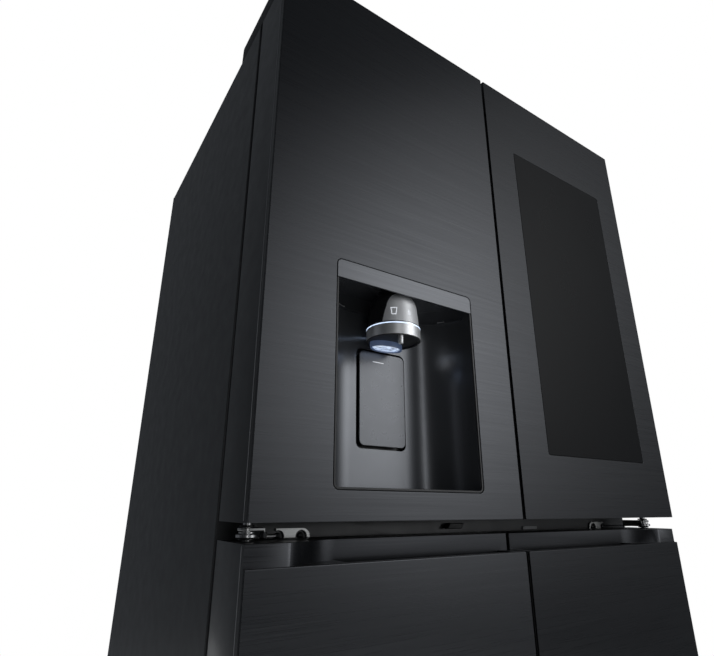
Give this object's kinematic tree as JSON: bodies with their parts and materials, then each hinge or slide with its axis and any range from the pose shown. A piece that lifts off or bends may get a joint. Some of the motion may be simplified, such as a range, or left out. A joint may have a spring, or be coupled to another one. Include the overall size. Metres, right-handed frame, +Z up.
{
  "type": "french door refrigerator",
  "caption": "Full-size french door refrigerator with upper fresh-food doors, lower freezer doors, a recessed ice and water dispenser, recessed grips and a dark door window.",
  "frame": {"origin": "on the floor, under the middle of the whole object's box", "axes": "+Z up, +X to the right of someone facing the doors, -Y out of the doors"},
  "size_m": [0.914, 0.743, 1.792],
  "materials": {
    "black_steel": "satin, brushed along its width",
    "dark_paint": "satin",
    "door_core": "satin",
    "black_glass": "gloss",
    "clear_glass": "gloss",
    "white_plastic": "satin",
    "clear_plastic": "gloss",
    "gray_rubber": "matte",
    "dispenser_plastic": "satin",
    "satin_silver": "satin",
    "zinc_steel": "satin",
    "galvanised": "matte",
    "foam": "matte",
    "black_plastic": "matte",
    "black_iron": "satin",
    "light_lens": "gloss"
  },
  "bodies": {
    "cabinet": {"air_duct": "white_plastic", "back_panel": "galvanised", "base_pan": "galvanised", "bottom_hinge_left": "zinc_steel", "bottom_hinge_right": "zinc_steel", "cabinet_case": "dark_paint", "compressor": "black_iron", "crisper_cover": "clear_glass", "crisper_drawer_left": "clear_plastic", "crisper_drawer_right": "clear_plastic", "freezer_drawer_left_lower": "clear_plastic", "freezer_drawer_left_upper": "clear_plastic", "freezer_drawer_right_lower": "clear_plastic", "freezer_drawer_right_upper": "clear_plastic", "freezer_liner_left": "white_plastic", "freezer_liner_right": "white_plastic", "fridge_liner": "white_plastic", "front_frame": "dark_paint", "hinge_cover_left": "black_plastic", "hinge_cover_right": "black_plastic", "insulation": "foam", "kick_plate": "dark_paint", "machine_cover": "black_plastic", "mid_hinge_left": "zinc_steel", "mid_hinge_right": "zinc_steel", "shelf_middle": "clear_glass", "shelf_top": "clear_glass", "top_hinge_left": "zinc_steel", "top_hinge_right": "zinc_steel"},
    "upper_left_door": {"dispenser_head": "satin_silver", "dispenser_housing": "dispenser_plastic", "dispenser_lamp": "light_lens", "dispenser_nozzle": "satin_silver", "dispenser_ring": "satin_silver", "dispenser_trim": "black_steel", "drip_tray": "black_plastic", "ice_compartment_cover": "white_plastic", "upper_left_bin": "clear_plastic", "upper_left_door_body": "door_core", "upper_left_door_panel": "black_steel", "upper_left_gasket": "gray_rubber"},
    "upper_right_door": {"upper_right_bin_lower": "clear_plastic", "upper_right_bin_upper": "clear_plastic", "upper_right_door_body": "door_core", "upper_right_door_glass": "black_glass", "upper_right_door_panel": "black_steel", "upper_right_gasket": "gray_rubber", "upper_right_inner_pane": "clear_glass"},
    "lower_left_door": {"lower_left_door_body": "door_core", "lower_left_door_panel": "black_steel", "lower_left_gasket": "gray_rubber"},
    "lower_right_door": {"lower_right_door_body": "door_core", "lower_right_door_panel": "black_steel", "lower_right_gasket": "gray_rubber"},
    "mullion_flap": {"mullion_flap": "door_core"},
    "dispenser_paddle": {"dispenser_paddle": "dispenser_plastic"},
    "roller_left": {"roller_left": "black_plastic"},
    "roller_right": {"roller_right": "black_plastic"},
    "leveling_foot_left": {"leveling_foot_left": "black_plastic"},
    "leveling_foot_right": {"leveling_foot_right": "black_plastic"}
  },
  "joints": [
    {"name": "upper_left_door_hinge", "type": "hinge", "parent": "cabinet", "child": "upper_left_door", "pos_m": [-0.437, -0.3195, 1.344], "axis": [0, 0, -1], "range_deg": [0, 110]},
    {"name": "upper_right_door_hinge", "type": "hinge", "parent": "cabinet", "child": "upper_right_door", "pos_m": [0.437, -0.3195, 1.344], "axis": [0, 0, 1], "range_deg": [0, 110]},
    {"name": "lower_left_door_hinge", "type": "hinge", "parent": "cabinet", "child": "lower_left_door", "pos_m": [-0.437, -0.3195, 0.468], "axis": [0, 0, -1], "range_deg": [0, 110]},
    {"name": "lower_right_door_hinge", "type": "hinge", "parent": "cabinet", "child": "lower_right_door", "pos_m": [0.437, -0.3195, 0.468], "axis": [0, 0, 1], "range_deg": [0, 110]},
    {"name": "mullion_flap_hinge", "type": "hinge", "parent": "upper_left_door", "child": "mullion_flap", "pos_m": [-0.021, -0.256, 1.3075], "axis": [0, 0, -1], "range_deg": [0, 90]},
    {"name": "dispenser_paddle_hinge", "type": "hinge", "parent": "upper_left_door", "child": "dispenser_paddle", "pos_m": [-0.2175, -0.275, 1.1545], "axis": [1, 0, 0], "range_deg": [0, 5], "stiffness_Nm_per_rad": 0.8, "springref_deg": -5.73},
    {"name": "roller_left_axle", "type": "hinge", "parent": "cabinet", "child": "roller_left", "pos_m": [-0.4, 0.2885, 0.02], "axis": [1, 0, 0], "continuous": true},
    {"name": "leveling_foot_left_thread", "type": "hinge", "parent": "cabinet", "child": "leveling_foot_left", "pos_m": [-0.402, -0.2215, 0.03], "axis": [0, 0, 1], "continuous": true},
    {"name": "roller_right_axle", "type": "hinge", "parent": "cabinet", "child": "roller_right", "pos_m": [0.4, 0.2885, 0.02], "axis": [1, 0, 0], "continuous": true},
    {"name": "leveling_foot_right_thread", "type": "hinge", "parent": "cabinet", "child": "leveling_foot_right", "pos_m": [0.402, -0.2215, 0.03], "axis": [0, 0, 1], "continuous": true}
  ]
}
